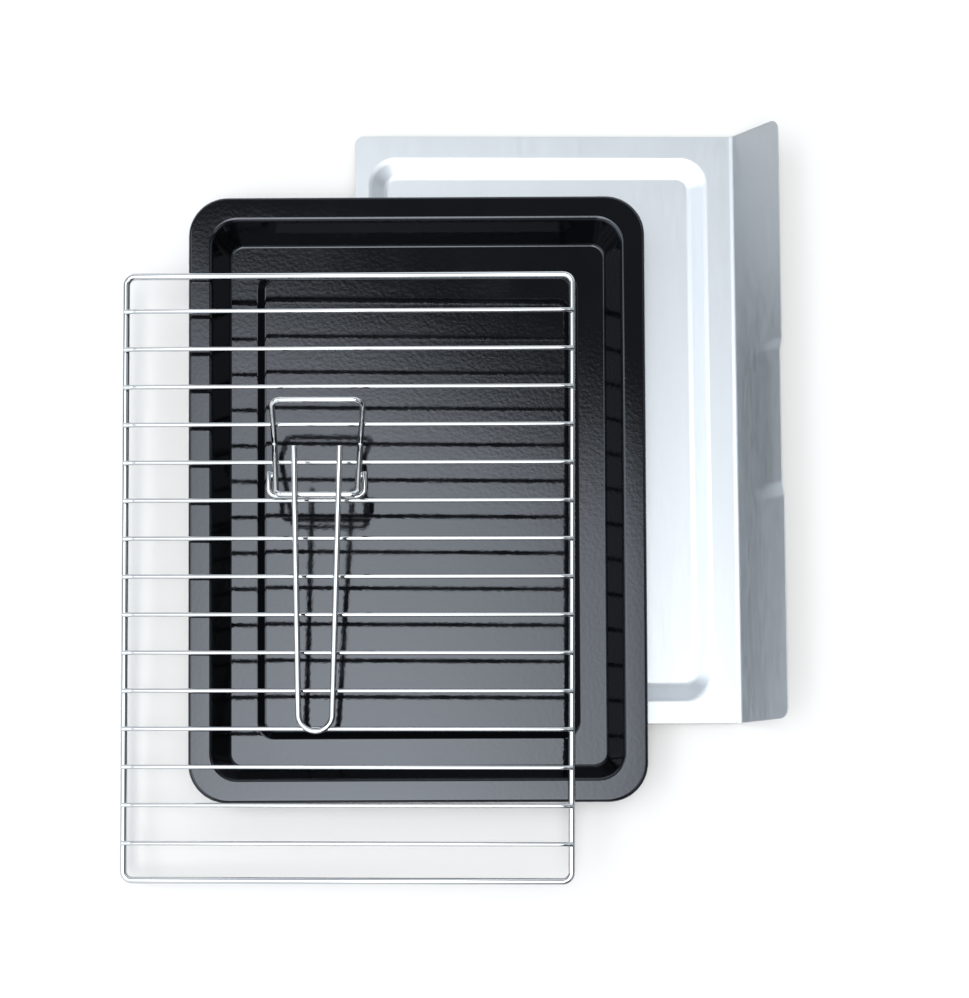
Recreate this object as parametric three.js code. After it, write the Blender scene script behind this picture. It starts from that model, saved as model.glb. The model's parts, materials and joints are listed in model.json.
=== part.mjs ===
// The loose accessories of a mini electric oven, stacked as they lie on a table:
// a satin crumb tray, an enamelled baking tray resting on it, a chromed wire rack
// on the baking tray, and a wire tray handle on the rack.
// Millimetres, +Z up. The origin is on the table, under the middle of the crumb
// tray's flat part; +X is the side of its lip and +Y is the back.
import * as THREE from "three";
import { mergeVertices } from "three/addons/utils/BufferGeometryUtils.js";

const degrees = Math.PI / 180;
const gap = 0.3; // clearance left between pieces that touch

// Crumb tray: thin sheet with a sunken floor and a lip bent up along its right side
const crumbWidth = 256.5; // flat part, left edge to fold
const crumbLength = 402;
const crumbSheet = 0.8;
const crumbCorner = 6;
const crumbRimLeft = 10;
const crumbRimRight = 18;
const crumbRimEnds = 16;
const crumbDepth = 5;
const crumbDraft = 10.5; // how far the sunken wall leans, seen from above
const crumbFloorCorner = 8.5;
const crumbBend = 2.5; // inside radius of the pressed edges
const crumbTurn = 0.62 * degrees;
const lipReach = 25.5; // from the fold to the lip's edge, seen from above
const lipRise = 31;
const lipCorner = 6.5;
const lipBend = 1.2; // inside radius of the fold
const lipRelief = 1; // the lip stops this far short of the flat part's ends
const fingerLength = 97; // finger recess, between the middles of its two ramps
const fingerRamp = 15;
const fingerDepth = 2.1; // at the lip's edge, fading to nothing at the fold

// Baking tray: enamelled sheet with a flat rim, a channel and a raised panel
const trayWidth = 302.5;
const trayLength = 402.5;
const traySheet = 0.8;
const trayDepth = 24; // rim to channel
const trayCorner = 26;
const trayRim = 15.6;
const trayRimCorner = 17.5; // inner corners of the rim
const trayDraft = 9;
const trayChannelCorner = 8.5;
const channelWidth = 18.5;
const panelRise = 4;
const panelDraft = 5.5;
const panelCorner = 6.5;
const trayBend = 2.2; // inside radius of the pressed edges
const trayHem = 3.6; // how far the outer edge turns down
const trayHemBend = 1.7;
const trayShiftX = -86.6; // its middle, from the middle of the crumb tray
const trayShiftY = -53;
const trayTurn = 0.37 * degrees;

// Wire rack: one frame wire with rounded corners, and cross wires lying on its sides
const rackWidth = 294.4; // between the middles of the frame's wires
const rackLength = 398.7;
const rackWire = 4.5;
const rackBend = 6;
const crossWire = 3;
const crossPitch = 25;
const crossOver = 0.8; // the ends reach this far past the middle of the side wires
const crossCount = 15;
const rackShiftX = -45.4; // its middle, from the middle of the baking tray
const rackShiftY = -53.2;

// Tray handle: a long U grip, a loop with a kink and a short brace, all of one wire
const handleWire = 3.8;
const gripReach = 179; // U end to tips, seen from above
const gripEndWidth = 21.8;
const gripTipWidth = 29;
const barReach = 149.8; // U end to the loop's back bar, seen from above
const barHeight = 29.5; // above the middles of the cross wires
const barWidth = 51.8;
const barBend = 4.2;
const kinkReach = 39.9; // back bar to kink
const kinkWidth = 56.8;
const kinkBend = 3;
const frontReach = 22.3; // kink to front bar
const frontHeight = 23.5;
const frontWidth = 58.9;
const frontBend = 5.6;
const braceHeight = 14;
const braceLead = 1.9; // its bar lies this far ahead of the back bar
const braceReach = 15.8; // from its bar to its tips
const braceBend = 5;
const handleShiftX = -20.3; // its middle line, from the middle of the rack
const kinkLead = 13.1; // the kink lies this far ahead of a cross wire
const kinkSpace = 4; // that wire is this many pitches behind the first
const handleTurn = -0.19 * degrees;
const handleLean = 0.1; // bent crooked: each height is off to one side by this share of it

// Facets: steps round a corner or bend, and sides of a wire
const cornerSteps = 7;
const bendSteps = 3;
const wireSides = 12;
const wireBendSteps = 6;

// Finishes
const satin = new THREE.MeshStandardMaterial({ color: 0xc9cdd2, roughness: 0.42, metalness: 0.9 });
const enamel = new THREE.MeshStandardMaterial({ color: 0x101113, roughness: 0.16, metalness: 0 });
const chrome = new THREE.MeshStandardMaterial({ color: 0xdcdee0, roughness: 0.08, metalness: 1 });

function node(name, geometry, material) {
  const mesh = new THREE.Mesh(geometry, material);
  mesh.name = name;
  return mesh;
}

const blend = (a, b, share) => a + (b - a) * share;
const smooth = (t) => t * t * (3 - 2 * t);
const clamp01 = (t) => Math.min(1, Math.max(0, t));

// A pressed sheet is described by the outlines it passes through from its middle to
// its edge. Each outline is a rounded rectangle at its own height.
const fields = ["left", "right", "front", "back", "leftCorner", "rightCorner", "z"];
const outline = (width, length, corner, z, shift = 0) => ({
  left: width / 2 - shift, right: width / 2 + shift, front: length / 2, back: length / 2,
  leftCorner: corner, rightCorner: corner, z,
});
const mix = (weights) => Object.fromEntries(
  fields.map((key) => [key, weights.reduce((sum, [share, from]) => sum + share * from[key], 0)]));

// Section coordinates of an outline: its mean distance from the middle, and its height
const section = (o) => new THREE.Vector2((o.left + o.right + o.front + o.back) / 4, o.z);

// Rounds the section's inner corners and gives each outline its upward normal.
// A bend that is hollow on the upper side has the inside radius there, and one that
// is hollow below has the inside radius plus the sheet.
function roundedSection(outlines, bends, sheet) {
  const flat = outlines.map(section);
  const result = [];
  outlines.forEach((here, i) => {
    if (i === 0 || i === outlines.length - 1) {
      const along = i === 0 ? flat[1].clone().sub(flat[0]) : flat[i].clone().sub(flat[i - 1]);
      result.push({ at: here, normal: new THREE.Vector2(-along.y, along.x).normalize() });
      return;
    }
    const back = flat[i - 1].clone().sub(flat[i]);
    const ahead = flat[i + 1].clone().sub(flat[i]);
    const hollowAbove = back.x * ahead.y - back.y * ahead.x < 0;
    const radius = bends[i] + (hollowAbove ? 0 : sheet);
    const backUnit = back.clone().normalize();
    const aheadUnit = ahead.clone().normalize();
    const half = Math.acos(THREE.MathUtils.clamp(backUnit.dot(aheadUnit), -1, 1)) / 2;
    const tangent = radius / Math.tan(half);
    const turn = Math.PI - 2 * half;
    const side = hollowAbove ? 1 : -1;
    const centre = backUnit.clone().add(aheadUnit).normalize().multiplyScalar(radius / Math.sin(half));
    const start = backUnit.clone().multiplyScalar(tangent).sub(centre);
    for (let k = 0; k <= bendSteps; k += 1) {
      const spoke = start.clone().rotateAround(new THREE.Vector2(), side * turn * k / bendSteps);
      const point = centre.clone().add(spoke);
      // the point as so much of the run behind and so much of the run ahead
      const cross = backUnit.cross(aheadUnit);
      const shareBack = point.cross(aheadUnit) / cross / back.length();
      const shareAhead = backUnit.cross(point) / cross / ahead.length();
      result.push({
        at: mix([[1 - shareBack - shareAhead, here], [shareBack, outlines[i - 1]],
          [shareAhead, outlines[i + 1]]]),
        normal: spoke.multiplyScalar(-side).normalize(),
      });
    }
  });
  return result;
}

// The outline on the sheet's other side, straight through its thickness
const through = ({ at, normal }, sheet) => ({
  left: at.left - normal.x * sheet, right: at.right - normal.x * sheet,
  front: at.front - normal.x * sheet, back: at.back - normal.x * sheet,
  leftCorner: at.leftCorner - normal.x * sheet, rightCorner: at.rightCorner - normal.x * sheet,
  z: at.z - normal.y * sheet,
});

// Points round an outline, from the right side's front end, anticlockwise from above.
// rightShares places extra points along the straight part of the right side.
function ringPoints(o, rightShares) {
  const points = rightShares.map((share) => new THREE.Vector3(
    o.right, blend(-o.front + o.rightCorner, o.back - o.rightCorner, share), o.z));
  const corners = [
    [o.right - o.rightCorner, o.back - o.rightCorner, o.rightCorner],
    [-o.left + o.leftCorner, o.back - o.leftCorner, o.leftCorner],
    [-o.left + o.leftCorner, -o.front + o.leftCorner, o.leftCorner],
    [o.right - o.rightCorner, -o.front + o.rightCorner, o.rightCorner],
  ];
  corners.forEach(([x, y, radius], corner) => {
    // the right side's own points already hold the first and the last corner's ends
    const first = corner === 0 ? 1 : 0;
    const last = corner === 3 ? cornerSteps - 1 : cornerSteps;
    for (let k = first; k <= last; k += 1) {
      const angle = (corner + k / cornerSteps) * Math.PI / 2;
      points.push(new THREE.Vector3(x + radius * Math.cos(angle), y + radius * Math.sin(angle), o.z));
    }
  });
  return points;
}

// Lofts the sheet: upper faces, lower faces and the edge between them. lipRows, when
// given, are the rows of a lip that carries on from the right side's extra points.
function pressedSheet(outlines, bends, sheet, rightShares = [0, 1], lipRows = null) {
  const stations = roundedSection(outlines, bends, sheet);
  const upper = stations.map(({ at }) => ringPoints(at, rightShares));
  const lower = stations.map((station) => ringPoints(through(station, sheet), rightShares));
  const positions = [];
  const index = [];
  const add = (point) => positions.push(point.x, point.y, point.z) / 3 - 1;
  const quad = (a, b, c, d) => index.push(a, b, c, a, c, d);
  const upperIds = upper.map((ring) => ring.map(add));
  const lowerIds = lower.map((ring) => ring.map(add));
  const count = upperIds[0].length;
  const upperMiddle = add(new THREE.Vector3(0, 0, upper[0][0].z));
  const lowerMiddle = add(new THREE.Vector3(0, 0, lower[0][0].z));
  for (let i = 0; i < count; i += 1) {
    const j = (i + 1) % count;
    index.push(upperMiddle, upperIds[0][i], upperIds[0][j]);
    index.push(lowerMiddle, lowerIds[0][j], lowerIds[0][i]);
    for (let k = 0; k + 1 < upperIds.length; k += 1) {
      quad(upperIds[k][i], upperIds[k + 1][i], upperIds[k + 1][j], upperIds[k][j]);
      quad(lowerIds[k][j], lowerIds[k + 1][j], lowerIds[k + 1][i], lowerIds[k][i]);
    }
    const onLip = lipRows && i + 1 < rightShares.length;
    const top = upperIds.at(-1);
    const bottom = lowerIds.at(-1);
    if (!onLip) quad(bottom[i], bottom[j], top[j], top[i]);
  }
  if (lipRows) {
    const tops = [upperIds.at(-1).slice(0, rightShares.length),
      ...lipRows.map((row) => row.upper.map(add))];
    const bottoms = [lowerIds.at(-1).slice(0, rightShares.length),
      ...lipRows.map((row) => row.lower.map(add))];
    const last = rightShares.length - 1;
    for (let k = 0; k + 1 < tops.length; k += 1) {
      for (let i = 0; i < last; i += 1) {
        quad(tops[k][i], tops[k + 1][i], tops[k + 1][i + 1], tops[k][i + 1]);
        quad(bottoms[k][i + 1], bottoms[k + 1][i + 1], bottoms[k + 1][i], bottoms[k][i]);
      }
      quad(bottoms[k][0], bottoms[k + 1][0], tops[k + 1][0], tops[k][0]);
      quad(tops[k][last], tops[k + 1][last], bottoms[k + 1][last], bottoms[k][last]);
    }
    for (let i = 0; i < last; i += 1) {
      quad(bottoms.at(-1)[i], bottoms.at(-1)[i + 1], tops.at(-1)[i + 1], tops.at(-1)[i]);
    }
  }
  const geometry = new THREE.BufferGeometry();
  geometry.setAttribute("position", new THREE.Float32BufferAttribute(positions, 3));
  geometry.setIndex(index);
  return mergeVertices(geometry);
}

// The middles of a bent wire: straight runs between corners, each corner rounded to
// its own bend radius in the plane of its two runs
function bentRuns(corners, closed) {
  const points = [];
  const push = (point) => {
    if (!points.length || points.at(-1).distanceTo(point) > gap / 10) points.push(point);
  };
  const count = corners.length;
  corners.forEach(({ at, bend }, i) => {
    if (!closed && (i === 0 || i === count - 1)) {
      push(at);
      return;
    }
    const back = corners[(i + count - 1) % count].at.clone().sub(at).normalize();
    const ahead = corners[(i + 1) % count].at.clone().sub(at).normalize();
    const half = back.angleTo(ahead) / 2;
    const centre = back.clone().add(ahead).setLength(bend / Math.sin(half)).add(at);
    const spoke = back.clone().multiplyScalar(bend / Math.tan(half)).add(at).sub(centre);
    const axis = ahead.clone().cross(back).normalize();
    for (let k = 0; k <= wireBendSteps; k += 1) {
      const turn = (Math.PI - 2 * half) * k / wireBendSteps;
      push(spoke.clone().applyAxisAngle(axis, turn).add(centre));
    }
  });
  return points;
}

// A curve that stops at exactly these points, so that every bend keeps its own steps
class WireCurve extends THREE.Curve {
  constructor(points, closed) {
    super();
    this.points = points;
    this.spans = closed ? points.length : points.length - 1;
    this.closed = closed;
  }

  corner(i) {
    const count = this.points.length;
    return this.closed ? this.points[(i + count) % count] : this.points[Math.min(Math.max(i, 0), count - 1)];
  }

  getPoint(t, target = new THREE.Vector3()) {
    const at = t * this.spans;
    const i = Math.min(Math.round(at), this.spans);
    return target.copy(this.corner(i));
  }

  getPointAt(t, target) {
    return this.getPoint(t, target);
  }

  getTangentAt(t, target = new THREE.Vector3()) {
    const i = Math.round(t * this.spans);
    const here = this.corner(i);
    const ahead = this.corner(i + 1).clone().sub(here).normalize();
    const behind = here.clone().sub(this.corner(i - 1)).normalize();
    return target.copy(ahead).add(behind).normalize();
  }
}

function wire(corners, diameter, closed = false) {
  const curve = new WireCurve(bentRuns(corners, closed), closed);
  if (closed) {
    const tube = new THREE.TubeGeometry(curve, curve.spans, diameter / 2, wireSides, true);
    tube.deleteAttribute("normal");
    tube.deleteAttribute("uv");
    return mergeVertices(tube);
  }
  const circle = new THREE.Shape().absarc(0, 0, diameter / 2, 0, 2 * Math.PI);
  return new THREE.ExtrudeGeometry(circle,
    { steps: curve.spans, curveSegments: wireSides / 2, extrudePath: curve, bevelEnabled: false });
}

// A frame whose floor passes through three points: it keeps x along X, and its origin
// is on the floor above or below the place given
function standingOn(points, x, y) {
  const [a, b, c] = points;
  const normal = b.clone().sub(a).cross(c.clone().sub(a)).normalize();
  if (normal.z < 0) normal.negate();
  const height = a.z - (normal.x * (x - a.x) + normal.y * (y - a.y)) / normal.z;
  const across = new THREE.Vector3(normal.z, 0, -normal.x).normalize();
  const along = normal.clone().cross(across);
  const frame = new THREE.Group();
  frame.quaternion.setFromRotationMatrix(new THREE.Matrix4().makeBasis(across, along, normal));
  frame.position.set(x, y, height);
  return frame;
}

// ---- crumb tray

const crumbRimTop = crumbDepth + crumbSheet;
const recessWidth = crumbWidth - crumbRimLeft - crumbRimRight;
const recessLength = crumbLength - 2 * crumbRimEnds;
const recessShift = (crumbRimLeft - crumbRimRight) / 2;
const crumbEdge = outline(crumbWidth, crumbLength, crumbCorner, crumbRimTop);
crumbEdge.rightCorner = lipRelief;
const crumbOutlines = [
  outline((recessWidth - 2 * crumbDraft) / 2, (recessLength - 2 * crumbDraft) / 2,
    crumbFloorCorner, crumbSheet, recessShift),
  outline(recessWidth - 2 * crumbDraft, recessLength - 2 * crumbDraft, crumbFloorCorner,
    crumbSheet, recessShift),
  outline(recessWidth, recessLength, crumbFloorCorner + crumbDraft, crumbRimTop, recessShift),
  crumbEdge,
];
const crumbBends = [0, crumbBend, crumbBend, 0];

// The lip: its section bends up from the fold, and its finger recess stands proud of
// the slope by an amount that grows from the fold to the edge
const lipSlope = Math.atan2(lipRise, lipReach);
const lipStraight = Math.hypot(lipReach, lipRise);
const lipHalf = crumbLength / 2 - lipRelief;
const fingerHalf = fingerLength / 2;
const rampSteps = 5;
const lipPlaces = [-lipHalf, -(lipHalf + fingerHalf) / 2];
for (let k = 0; k <= rampSteps; k += 1) {
  lipPlaces.push(-fingerHalf + fingerRamp * (k / rampSteps - 1 / 2));
}
const lipShares = [...lipPlaces, 0, ...lipPlaces.toReversed().map((y) => -y)]
  .map((y) => (y + lipHalf) / (2 * lipHalf));

function fingerHeight(y, along) {
  const inside = clamp01((fingerHalf - Math.abs(y)) / fingerRamp + 1 / 2);
  return fingerDepth * smooth(inside) * along / lipStraight;
}

// One row of the lip, at a distance along the sheet from where its bend starts
function lipRow(along, cornerInset) {
  const middleRadius = lipBend + crumbSheet / 2;
  const bendLength = middleRadius * lipSlope;
  const turned = Math.min(along / middleRadius, lipSlope);
  const rest = Math.max(along - bendLength, 0);
  const x = crumbWidth / 2 + middleRadius * Math.sin(turned) + rest * Math.cos(lipSlope);
  const z = crumbRimTop - crumbSheet / 2 + middleRadius * (1 - Math.cos(turned))
    + rest * Math.sin(lipSlope);
  const row = { upper: [], lower: [] };
  lipShares.forEach((share) => {
    const y = (2 * share - 1) * (lipHalf - cornerInset);
    const proud = fingerHeight(y, rest);
    [["upper", 1 / 2], ["lower", -1 / 2]].forEach(([side, share]) => {
      const out = crumbSheet * share + proud;
      row[side].push(new THREE.Vector3(x - out * Math.sin(turned), y, z + out * Math.cos(turned)));
    });
  });
  return row;
}

const lipRows = [];
const foldLength = (lipBend + crumbSheet / 2) * lipSlope;
for (let k = 1; k <= bendSteps; k += 1) lipRows.push(lipRow(foldLength * k / bendSteps, 0));
for (let k = 1; k <= bendSteps; k += 1) {
  lipRows.push(lipRow(blend(foldLength, lipStraight - lipCorner, k / bendSteps), 0));
}
for (let k = 1; k <= cornerSteps; k += 1) {
  const angle = (k / cornerSteps) * Math.PI / 2;
  lipRows.push(lipRow(lipStraight - lipCorner * (1 - Math.sin(angle)), lipCorner * (1 - Math.cos(angle))));
}

const crumbTray = node("crumb_tray",
  pressedSheet(crumbOutlines, crumbBends, crumbSheet, lipShares, lipRows), satin);
crumbTray.rotation.z = crumbTurn;

// ---- baking tray, in its own frame: the floor is the underside of the channel

const trayRimTop = traySheet + trayDepth;
const channelTopWidth = trayWidth - 2 * (trayRim + trayDraft);
const channelTopLength = trayLength - 2 * (trayRim + trayDraft);
const panelWidth = channelTopWidth - 2 * channelWidth;
const panelLength = channelTopLength - 2 * channelWidth;
const trayOutlines = [
  outline((panelWidth - 2 * panelDraft) / 2, (panelLength - 2 * panelDraft) / 2, panelCorner,
    traySheet + panelRise),
  outline(panelWidth - 2 * panelDraft, panelLength - 2 * panelDraft, panelCorner,
    traySheet + panelRise),
  outline(panelWidth, panelLength, panelCorner + panelDraft, traySheet),
  outline(channelTopWidth, channelTopLength, trayChannelCorner, traySheet),
  outline(trayWidth - 2 * trayRim, trayLength - 2 * trayRim, trayRimCorner, trayRimTop),
  outline(trayWidth, trayLength, trayCorner, trayRimTop),
  outline(trayWidth, trayLength, trayCorner, trayRimTop - trayHem),
];
const trayBends = [0, trayBend, trayBend, trayBend, trayBend, trayHemBend, 0];
const bakingTray = node("baking_tray", pressedSheet(trayOutlines, trayBends, traySheet), enamel);
bakingTray.rotation.z = trayTurn;

// It rests on the crumb tray's left and front rims and, tipped to the front left, on
// the table. Each point is the end of its contact where the tray is lowest.
const cornerCut = trayChannelCorner * (1 - Math.SQRT1_2);
const traySet = standingOn([
  new THREE.Vector3(-crumbWidth / 2, trayShiftY + panelLength / 2, crumbRimTop + gap),
  new THREE.Vector3(trayShiftX + panelWidth / 2, -crumbLength / 2, crumbRimTop + gap),
  new THREE.Vector3(trayShiftX - channelTopWidth / 2 + cornerCut,
    trayShiftY - channelTopLength / 2 + cornerCut, gap),
], trayShiftX, trayShiftY);

// ---- wire rack, in its own frame: the floor holds the middles of the frame wire

const corner3 = (x, y, z, bend = 0) => ({ at: new THREE.Vector3(x, y, z), bend });
const rackFrame = node("rack_frame", wire([
  corner3(rackWidth / 2, -rackLength / 2, 0, rackBend),
  corner3(rackWidth / 2, rackLength / 2, 0, rackBend),
  corner3(-rackWidth / 2, rackLength / 2, 0, rackBend),
  corner3(-rackWidth / 2, -rackLength / 2, 0, rackBend),
], rackWire, true), chrome);

const crossLength = rackWidth + 2 * crossOver;
const crossHeight = (rackWire + crossWire) / 2 + gap;
const crossY = (i) => ((crossCount - 1) / 2 - i) * crossPitch; // from the back, 0 first
const crossWires = [];
for (let i = 0; i < crossCount; i += 1) {
  const geometry = new THREE.CylinderGeometry(crossWire / 2, crossWire / 2, crossLength, wireSides);
  const mesh = node(`rack_cross_wire_${String(i + 1).padStart(2, "0")}`, geometry, chrome);
  mesh.rotation.z = Math.PI / 2;
  mesh.position.set(0, crossY(i), crossHeight);
  crossWires.push(mesh);
}

// It rests on the baking tray's rim: the frame wire at the back left and at the front
// right, and the last cross wire above the rim at the front left.
const rimFlat = trayHemBend + traySheet;
const rimLeft = -trayWidth / 2 + rimFlat;
let restIndex = crossCount - 1;
while (restIndex > 0 && rackShiftY + crossY(restIndex) < -trayLength / 2 + trayRim) restIndex -= 1;
const rackSet = standingOn([
  new THREE.Vector3(rimLeft, rackShiftY + rackLength / 2, trayRimTop + rackWire / 2 + gap),
  new THREE.Vector3(rackShiftX + rackWidth / 2, -trayLength / 2 + rimFlat,
    trayRimTop + rackWire / 2 + gap),
  new THREE.Vector3(rimLeft, rackShiftY + crossY(restIndex),
    trayRimTop + crossWire / 2 + gap - crossHeight),
], rackShiftX, rackShiftY);

// ---- tray handle, in its own frame: the floor holds the middles of the cross wires

// The kink settles between two cross wires. The loop's back arms slope up from it and
// lie on the wire behind it, so the kink's depth follows from that contact.
const seatY = crossY(kinkSpace);
const kinkY = seatY + kinkLead;
const barY = kinkY - kinkReach;
const gripEndY = barY - barReach;
const restGap = (crossWire + handleWire) / 2 + gap;
const barToSeat = Math.hypot(seatY - barY, barHeight);
const armFall = Math.atan2(barHeight, seatY - barY) - Math.asin(restGap / barToSeat);
const kinkHeight = barHeight - kinkReach * Math.tan(armFall);

const leaning = (x, y, z, bend = 0) => corner3(x + handleLean * z, y, z, bend);
const loop = node("handle_loop", wire([
  leaning(frontWidth / 2, kinkY + frontReach, frontHeight, frontBend),
  leaning(-frontWidth / 2, kinkY + frontReach, frontHeight, frontBend),
  leaning(-kinkWidth / 2, kinkY, kinkHeight, kinkBend),
  leaning(-barWidth / 2, barY, barHeight, barBend),
  leaning(barWidth / 2, barY, barHeight, barBend),
  leaning(kinkWidth / 2, kinkY, kinkHeight, kinkBend),
], handleWire, true), chrome);

// The grip lies across the back bar and slopes down to its U end, which rests on the
// last cross wire that it reaches.
let endIndex = kinkSpace;
while (endIndex + 1 < crossCount && crossY(endIndex + 1) > gripEndY) endIndex += 1;
const endY = crossY(endIndex);
const liftOver = handleWire + gap;
const tangentRise = liftOver - restGap;
const gripSlope = Math.atan2(barHeight, barY - endY)
  + Math.asin(tangentRise / Math.hypot(barY - endY, barHeight));
const gripBase = restGap / Math.cos(gripSlope) - (endY - gripEndY) * Math.tan(gripSlope);
const onGrip = (x, reach, bend = 0) =>
  leaning(x, gripEndY + reach, gripBase + reach * Math.tan(gripSlope), bend);
const gripLean = Math.atan2((gripTipWidth - gripEndWidth) / 2 * Math.cos(gripSlope), gripReach);
const gripBend = gripEndWidth / 2 * Math.tan(Math.PI / 4 + gripLean / 2);
const grip = node("handle_grip", wire([
  onGrip(-gripTipWidth / 2, gripReach),
  onGrip(-gripEndWidth / 2, 0, gripBend),
  onGrip(gripEndWidth / 2, 0, gripBend),
  onGrip(gripTipWidth / 2, gripReach),
], handleWire), chrome);

// The brace lies level below the back bar; its tips are welded to the outsides of the
// loop's back arms where the arms rise through its own height.
const braceY = barY + braceLead;
const armShare = (braceHeight - kinkHeight) / (barHeight - kinkHeight);
const braceHalf = blend(kinkWidth, barWidth, armShare) / 2 + handleWire + gap;
const brace = node("handle_brace", wire([
  leaning(-braceHalf, braceY + braceReach, braceHeight),
  leaning(-braceHalf, braceY, braceHeight, braceBend),
  leaning(braceHalf, braceY, braceHeight, braceBend),
  leaning(braceHalf, braceY + braceReach, braceHeight),
], handleWire), chrome);

const handleSet = new THREE.Group();
handleSet.position.set(handleShiftX, 0, crossHeight);
handleSet.rotation.z = handleTurn;
handleSet.add(grip, loop, brace);

rackSet.add(rackFrame, ...crossWires, handleSet);
traySet.add(bakingTray, rackSet);

const group = new THREE.Group();
group.add(crumbTray, traySet);

export default group;
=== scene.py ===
# %% [markdown]
# # The loose pieces of a mini oven, stacked on a table
#
# Four things lie on one another: a satin crumb tray with a bent-up lip, a black enamelled
# baking tray, a chromed wire rack, and a wire handle for lifting the hot tray.
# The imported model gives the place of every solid. This lesson models each piece again with
# real bends, round wires and welds, and gives each its finish.

# %% Load the frame
import json
import math

import bmesh
import bpy
from mathutils import Matrix, Vector

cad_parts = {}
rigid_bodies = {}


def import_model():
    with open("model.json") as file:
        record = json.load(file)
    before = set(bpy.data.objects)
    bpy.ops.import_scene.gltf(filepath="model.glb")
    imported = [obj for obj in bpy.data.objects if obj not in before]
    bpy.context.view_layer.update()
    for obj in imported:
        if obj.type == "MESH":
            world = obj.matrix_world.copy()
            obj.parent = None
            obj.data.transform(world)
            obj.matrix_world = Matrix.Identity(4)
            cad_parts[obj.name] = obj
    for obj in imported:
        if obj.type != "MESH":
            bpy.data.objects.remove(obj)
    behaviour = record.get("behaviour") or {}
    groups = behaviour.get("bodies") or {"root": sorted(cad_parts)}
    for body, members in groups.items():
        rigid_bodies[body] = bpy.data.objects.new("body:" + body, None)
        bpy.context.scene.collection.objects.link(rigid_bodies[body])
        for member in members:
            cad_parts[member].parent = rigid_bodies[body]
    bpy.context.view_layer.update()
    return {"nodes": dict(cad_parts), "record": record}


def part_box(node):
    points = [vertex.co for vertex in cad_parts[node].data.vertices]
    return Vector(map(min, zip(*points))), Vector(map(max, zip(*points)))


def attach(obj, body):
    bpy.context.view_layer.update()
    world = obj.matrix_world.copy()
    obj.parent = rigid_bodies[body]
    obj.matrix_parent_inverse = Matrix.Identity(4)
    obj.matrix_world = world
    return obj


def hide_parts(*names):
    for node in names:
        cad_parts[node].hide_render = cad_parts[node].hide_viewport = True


for leftover in list(bpy.data.objects):
    bpy.data.objects.remove(leftover)
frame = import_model()
mm = 0.001

# %% [markdown]
# ## The camera
#
# The picture was taken from above, a little in front of the stack, with a lens that looks
# almost straight down. The stack fills the upper left of that lens's view, so the frame is
# shifted off the lens's axis instead of turning the camera, which would bend the rectangles
# into trapezoids. The place and the two small tilts come from how the long edges converge.

# %% Place the camera
lean_x, lean_y, roll = (math.radians(a) for a in (1.117, 2.536, 0.157))
ahead = Vector((math.tan(lean_x), math.tan(lean_y), -1)).normalized()
level_right = Vector((1, 0, math.tan(lean_x))).normalized()
level_up = level_right.cross(ahead)
right = math.cos(roll) * level_right + math.sin(roll) * level_up
up = math.cos(roll) * level_up - math.sin(roll) * level_right

camera = bpy.data.objects.new("Camera", bpy.data.cameras.new("Camera"))
bpy.context.scene.collection.objects.link(camera)
camera.matrix_world = Matrix((
    (right.x, up.x, -ahead.x, -86.0 * mm),
    (right.y, up.y, -ahead.y, -285.6 * mm),
    (right.z, up.z, -ahead.z, 1090.5 * mm),
    (0, 0, 0, 1),
))
camera.data.sensor_width = 36
camera.data.lens = 58.51
camera.data.shift_x = 0.035
camera.data.shift_y = 0.28
bpy.context.scene.camera = camera
bpy.context.scene.view_settings.view_transform = "Standard"
print("camera", [round(c / mm) for c in camera.location], "mm")

# %% [markdown]
# ## One way to add a node
#
# Every finish below is a small network of nodes. The function takes the node's kind, its
# sockets by name or number, where another node's output makes a link, and its settings.
# Colours are written as the hex values seen on a screen and turned to linear light.


# %% Helpers for nodes and colours
def add_node(tree, kind, sockets=None, **settings):
    node = tree.nodes.new(kind)
    for key, value in settings.items():
        setattr(node, key, value)
    for key, value in (sockets or {}).items():
        if isinstance(value, bpy.types.NodeSocket):
            tree.links.new(value, node.inputs[key])
        else:
            node.inputs[key].default_value = value
    return node


def hex_colour(text):
    parts = [int(text[i:i + 2], 16) / 255 for i in (1, 3, 5)]
    linear = [c / 12.92 if c <= 0.04045 else ((c + 0.055) / 1.055) ** 2.4 for c in parts]
    return (*linear, 1)


def new_finish(name, colour, **sockets):
    """A material with its Principled shader set to plain values, which nodes may refine."""
    material = bpy.data.materials.new(name)
    material.use_nodes = True
    shader = material.node_tree.nodes["Principled BSDF"]
    shader.inputs["Base Color"].default_value = hex_colour(colour)
    for key, value in sockets.items():
        shader.inputs[key.replace("_", " ")].default_value = value
    return material, material.node_tree, shader


# %% [markdown]
# ## Light
#
# Enamel and chrome have no look of their own: they show what is around them. In the picture
# the enamel mirrors one wide soft light overhead, brightest a little to the left, which stops
# along a slanting edge towards the back, so the far right of the tray stays black. The wires
# are white on the side that faces the back of the room and dark on the side that faces the
# front. The world is painted as that room: a bright window in the ceiling, a dim band behind
# it, a light back wall, a dark front wall with a light left corner, and two smaller windows,
# high on the left and on the right, that light the crumb tray's leaning sides. The walls are a
# cool white. Camera rays see plain white instead, like the paper the pieces lie on.

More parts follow.
